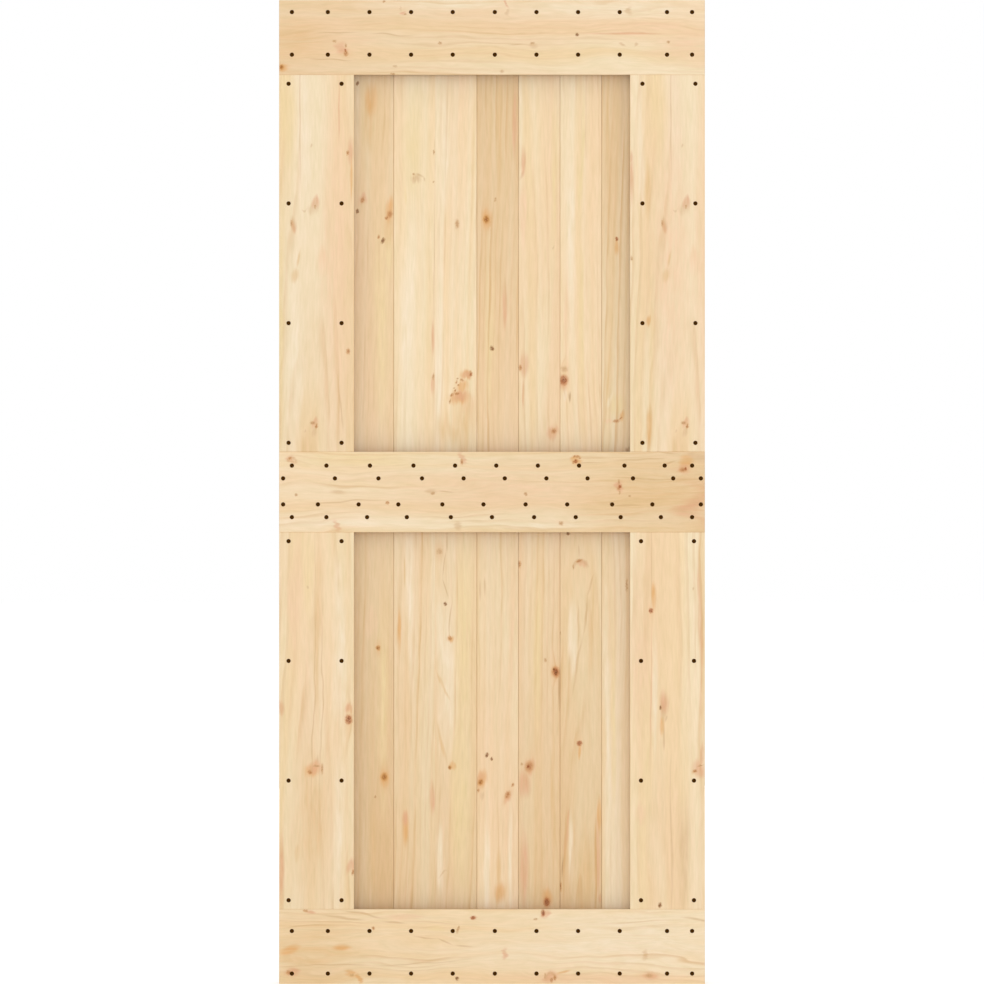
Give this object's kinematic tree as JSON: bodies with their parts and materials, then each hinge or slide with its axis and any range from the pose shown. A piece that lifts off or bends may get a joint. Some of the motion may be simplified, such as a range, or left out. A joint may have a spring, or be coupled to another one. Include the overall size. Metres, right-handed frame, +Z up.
{
  "type": "sliding door",
  "caption": "Barn-style sliding door leaf: knotty pine tongue-and-groove boards in two fields, screwed between flat frames of rails and stiles on both faces.",
  "frame": {"origin": "middle of the top edge, where the leaf hangs", "axes": "+Z up along the height, +X to the right as seen from the front, -Y out of the front face"},
  "size_m": [0.9, 0.045, 2.08],
  "materials": {
    "pine_frame": "planed and sanded knotty pine, unfinished",
    "pine_boards": "planed knotty pine, unfinished, grain upright"
  },
  "bodies": {
    "root": {"back_bottom_rail": "pine_frame", "back_lower_left_stile": "pine_frame", "back_lower_right_stile": "pine_frame", "back_mid_rail": "pine_frame", "back_top_rail": "pine_frame", "back_upper_left_stile": "pine_frame", "back_upper_right_stile": "pine_frame", "front_bottom_rail": "pine_frame", "front_lower_left_stile": "pine_frame", "front_lower_right_stile": "pine_frame", "front_mid_rail": "pine_frame", "front_top_rail": "pine_frame", "front_upper_left_stile": "pine_frame", "front_upper_right_stile": "pine_frame", "lower_board_01": "pine_boards", "lower_board_02": "pine_boards", "lower_board_03": "pine_boards", "lower_board_04": "pine_boards", "lower_board_05": "pine_boards", "lower_board_06": "pine_boards", "lower_board_07": "pine_boards", "lower_board_08": "pine_boards", "lower_board_09": "pine_boards", "lower_board_10": "pine_boards", "upper_board_01": "pine_boards", "upper_board_02": "pine_boards", "upper_board_03": "pine_boards", "upper_board_04": "pine_boards", "upper_board_05": "pine_boards", "upper_board_06": "pine_boards", "upper_board_07": "pine_boards", "upper_board_08": "pine_boards", "upper_board_09": "pine_boards", "upper_board_10": "pine_boards"}
  },
  "joints": []
}
